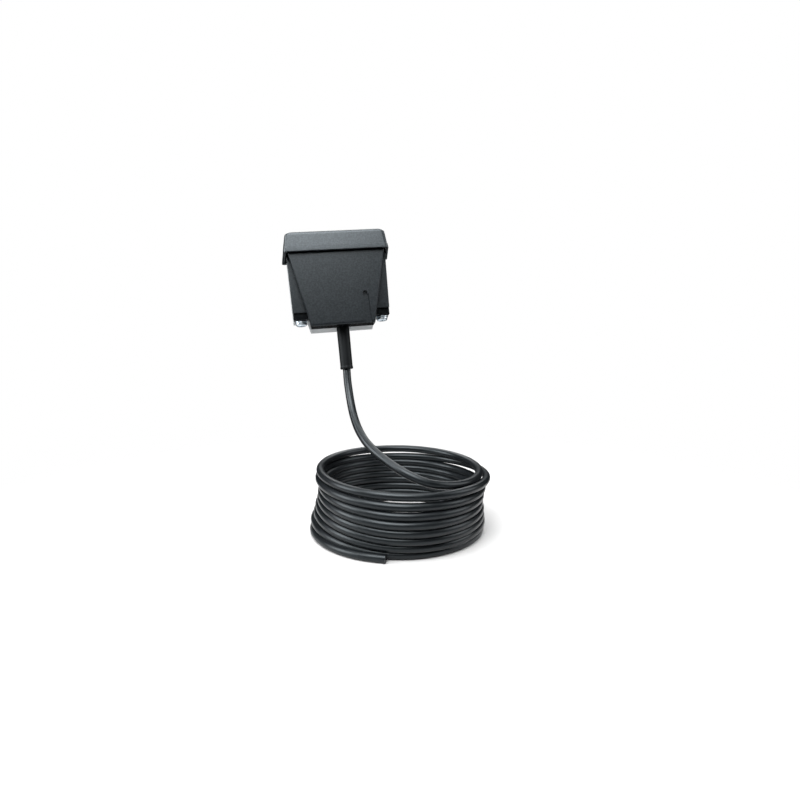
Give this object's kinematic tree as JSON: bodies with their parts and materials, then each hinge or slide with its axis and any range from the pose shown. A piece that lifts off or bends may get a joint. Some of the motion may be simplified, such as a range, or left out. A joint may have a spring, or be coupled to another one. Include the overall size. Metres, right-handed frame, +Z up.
{
  "type": "cabled measuring head",
  "caption": "Small wall-fixed measuring head with a rain hood over two half shells, long fixing screws in its ears, and a strain relief sleeve above a coil of stiff round cable.",
  "frame": {"origin": "centre of the wall plate's flat back, where the head meets its wall", "axes": "+Z up with the coil level on its floor, +Y back through the head (the front faces -Y), +X to the right seen from the front; the head leans back and to its left over the coil, so its own axes are turned by those two small angles"},
  "size_m": [0.1319, 0.1168, 0.1894],
  "materials": {
    "hood_plastic": "fine grain, satin",
    "cover_plastic": "fine grain, satin",
    "grey_plastic": "fine grain, satin",
    "black_rubber": "matte",
    "sleeve_rubber": "smooth, semi-gloss",
    "cable_jacket": "smooth, semi-gloss",
    "zinc_steel": "bright blue zinc",
    "aluminium": "drawn can",
    "brass": "turned",
    "board_green": "solder mask",
    "terminal_grey": "moulded",
    "chip_black": "moulded",
    "core_brown": "wire insulation",
    "core_white": "wire insulation",
    "core_green": "wire insulation"
  },
  "bodies": {
    "head": {"board_screw_lower_left": "zinc_steel", "board_screw_lower_right": "zinc_steel", "board_screw_upper_left": "zinc_steel", "board_screw_upper_right": "zinc_steel", "cable_clamp": "terminal_grey", "cable_coil": "cable_jacket", "cable_inner": "cable_jacket", "cable_sleeve": "sleeve_rubber", "cable_tube": "cable_jacket", "capacitor": "aluminium", "captive_ring_left": "black_rubber", "captive_ring_right": "black_rubber", "circuit_board": "board_green", "clamp_screw_left": "zinc_steel", "clamp_screw_right": "zinc_steel", "core_brown": "core_brown", "core_green": "core_green", "core_white": "core_white", "front_shell": "cover_plastic", "hood_cap": "hood_plastic", "hood_gasket": "black_rubber", "insert_left": "brass", "insert_right": "brass", "plate_screw_left": "zinc_steel", "plate_screw_right": "zinc_steel", "rear_shell": "grey_plastic", "sensing_element": "zinc_steel", "shell_seal": "black_rubber", "signal_chip": "chip_black", "terminal_block": "terminal_grey", "terminal_screw_1": "zinc_steel", "terminal_screw_2": "zinc_steel", "terminal_screw_3": "zinc_steel", "wall_plate": "grey_plastic", "washer_left": "zinc_steel", "washer_right": "zinc_steel"},
    "screw_left": {"fixing_screw_left": "zinc_steel"},
    "screw_right": {"fixing_screw_right": "zinc_steel"}
  },
  "joints": [
    {"name": "screw_left_turn", "type": "hinge", "parent": "head", "child": "screw_left", "pos_m": [-0.02395, -0.01813, -0.02454], "axis": [-0.075, 0.1422, 0.987], "continuous": true},
    {"name": "screw_right_turn", "type": "hinge", "parent": "head", "child": "screw_right", "pos_m": [0.0277, -0.01758, -0.02069], "axis": [-0.075, 0.1422, 0.987], "continuous": true}
  ]
}
